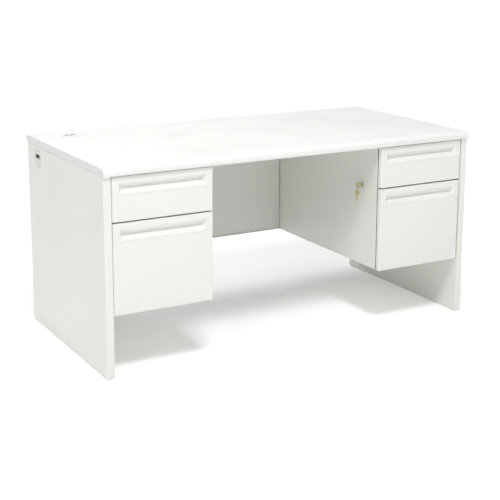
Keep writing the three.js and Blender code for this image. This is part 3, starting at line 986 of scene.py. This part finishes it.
def key_ring():
    """A split ring: two turns of flat wire side by side, with a kink where one passes to the other."""
    low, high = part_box("key_ring")
    centre = (low + high) / 2
    coil = (high.x - low.x) / 4
    outer = (high.z - low.z) / 2
    wire = coil * RING_WIRE
    section = [
        (RING_FILL * coil * rounded_square(math.cos(angle)), wire * rounded_square(math.sin(angle)))
        for angle in (math.radians(degrees) for degrees in range(15, 375, 30))
    ]
    kink, crossing = RING_KINK
    bm = bmesh.new()
    rings = []
    steps = 150
    for step in range(steps + 1):
        turn = RING_TURN * step / steps
        shift = coil * (2 * smooth_step((turn - kink) / crossing) - 1)
        angle = math.radians(turn + RING_START)
        ring = []
        for across, out in section:
            radius = outer - wire + out
            ring.append(
                bm.verts.new(
                    (centre.x + shift + across,
                     centre.y + radius * math.cos(angle),
                     centre.z + radius * math.sin(angle))
                )
            )
        rings.append(ring)
    for here, following in zip(rings, rings[1:]):
        for k in range(len(section)):
            after = (k + 1) % len(section)
            bm.faces.new((here[k], here[after], following[after], following[k]))
    bm.faces.new(rings[0][::-1])
    bm.faces.new(rings[-1])
    bmesh.ops.recalc_face_normals(bm, faces=bm.faces[:])
    stand_for(piece_from("split_ring", bm, 50), "key_ring")


# ---------------------------------------------------------------- glides


def glide(node):
    """A screw-in glide: a dished foot on a threaded stem."""
    low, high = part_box(node)
    centre = (low + high) / 2
    place = Matrix.Translation((centre.x, centre.y, low.z))
    radius = (high.x - low.x) / 2
    top = high.z - low.z
    profile = [(0, 0.3 * MM), (radius - 4 * MM, 0), (radius - 1.6 * MM, 0)]
    profile += rounded_corner((radius - GLIDE_ROUND, GLIDE_ROUND), GLIDE_ROUND, 270, 360, 4)
    profile += [(radius, 1.5 * MM), (radius - 1.2 * MM, 2 * MM)]
    profile += [(GLIDE_STEM + 1.5 * MM, GLIDE_PLATE), (GLIDE_ROOT, GLIDE_PLATE)]
    thread = GLIDE_PLATE + 0.8 * MM
    while thread < top - 2 * THREAD:
        profile += [(GLIDE_ROOT, thread), (GLIDE_STEM, thread + 0.5 * THREAD)]
        thread += THREAD
    profile += [(GLIDE_ROOT, top - THREAD), (GLIDE_ROOT - 0.8 * MM, top), (0, top)]
    stand_for(lathe(f"{node}_screw", profile, place, 48), node)


# ---------------------------------------------------------------- room, light and camera


def studio():
    bm = bmesh.new()
    bmesh.ops.create_grid(bm, x_segments=8, y_segments=8, size=FLOOR_REACH)
    floor = piece_from("floor", bm)
    look = Look("floor_look", (0.93, 0.93, 0.93), 0.9)
    look.shader.inputs["Emission Color"].default_value = (1, 1, 1, 1)
    distance = look.add("ShaderNodeVectorMath", {0: look.place})
    distance.operation = "LENGTH"
    glow = look.add(
        "ShaderNodeMapRange",
        {
            "Value": distance.outputs["Value"],
            "From Min": GLOW_RISE[0],
            "From Max": GLOW_RISE[1],
            "To Min": FLOOR_GLOW[0],
            "To Max": FLOOR_GLOW[1],
        },
    )
    look.tree.links.new(glow.outputs["Result"], look.shader.inputs["Emission Strength"])
    dim, bright = FLOOR_WHITE
    floor.data.materials.append(
        look.wire(colour=look.ramp(look.noise(0.5, 3), (0.3, (dim,) * 3), (0.7, (bright,) * 3)))
    )
    overcast_sky()
    for light in STUDIO_LIGHTS:
        area_light(*light)


def overcast_sky():
    """A dome that lights mostly from overhead, and is plain white where it shows."""
    world = bpy.data.worlds.new("studio_air")
    bpy.context.scene.world = world
    world.use_nodes = True
    tree = world.node_tree
    air = tree.nodes["Background"]
    air.inputs["Color"].default_value = (1, 1, 1, 1)
    direction = tree.nodes.new("ShaderNodeTexCoord").outputs["Generated"]
    parts = tree.nodes.new("ShaderNodeSeparateXYZ")
    tree.links.new(direction, parts.inputs["Vector"])
    rise = tree.nodes.new("ShaderNodeMapRange")
    rise.interpolation_type = "SMOOTHSTEP"
    start, stop = SKY_RISE
    limits = {"From Min": start, "From Max": stop, "To Min": SKY_LOW, "To Max": SKY_HIGH}
    for key, value in limits.items():
        rise.inputs[key].default_value = value
    seen = tree.nodes.new("ShaderNodeLightPath").outputs["Is Camera Ray"]
    strength = tree.nodes.new("ShaderNodeMath")
    strength.operation = "MAXIMUM"
    tree.links.new(parts.outputs["Z"], rise.inputs["Value"])
    tree.links.new(rise.outputs["Result"], strength.inputs[0])
    tree.links.new(seen, strength.inputs[1])
    tree.links.new(strength.outputs["Value"], air.inputs["Strength"])


def area_light(name, place, target, size, power):
    light = bpy.data.lights.new(name, "AREA")
    light.shape = "SQUARE"
    light.size = size
    light.energy = power
    lamp = bpy.data.objects.new(name, light)
    lamp.location = place
    aim = Vector(target) - Vector(place)
    lamp.rotation_euler = aim.to_track_quat("-Z", "Y").to_euler()
    bpy.context.scene.collection.objects.link(lamp)


def camera():
    yaw, pitch, roll = (math.radians(angle) for angle in CAMERA_TURN)
    forward = Vector((math.sin(yaw) * math.cos(pitch), math.cos(yaw) * math.cos(pitch), -math.sin(pitch)))
    level = Vector((math.cos(yaw), -math.sin(yaw), 0))
    upright = level.cross(forward)
    right = level * math.cos(roll) + upright * math.sin(roll)
    up = upright * math.cos(roll) - level * math.sin(roll)
    view = bpy.data.cameras.new("camera")
    view.lens = CAMERA_LENS
    view.sensor_width = CAMERA_SENSOR
    view.shift_y = CAMERA_SHIFT
    eye = bpy.data.objects.new("camera", view)
    eye.matrix_world = Matrix.Translation(CAMERA_PLACE) @ Matrix(
        (right, up, -forward)
    ).transposed().to_4x4()
    bpy.context.scene.collection.objects.link(eye)
    bpy.context.scene.camera = eye


# ---------------------------------------------------------------- the desk

bpy.context.scene.view_settings.view_transform = "Standard"
camera()
studio()
worktop()
modesty()
grommet("top", (0, 0, 1))
grommet("side", (-1, 0, 0))
for side in SIDES:
    end_panel(side)
    pedestal(side)
    for kind in ("box", "file"):
        drawer_front(f"{side}_{kind}_drawer_front")
        drawer_body(side, kind)
        for wall in ("kneespace", "outer"):
            runner(side, kind, wall)
lock()
keys()
key_ring()
for side in SIDES:
    for end in ("front", "rear"):
        glide(f"{side}_{end}_glide")
for node in ("upper_lock_bolt", "lower_lock_bolt"):
    finish_cad(node)
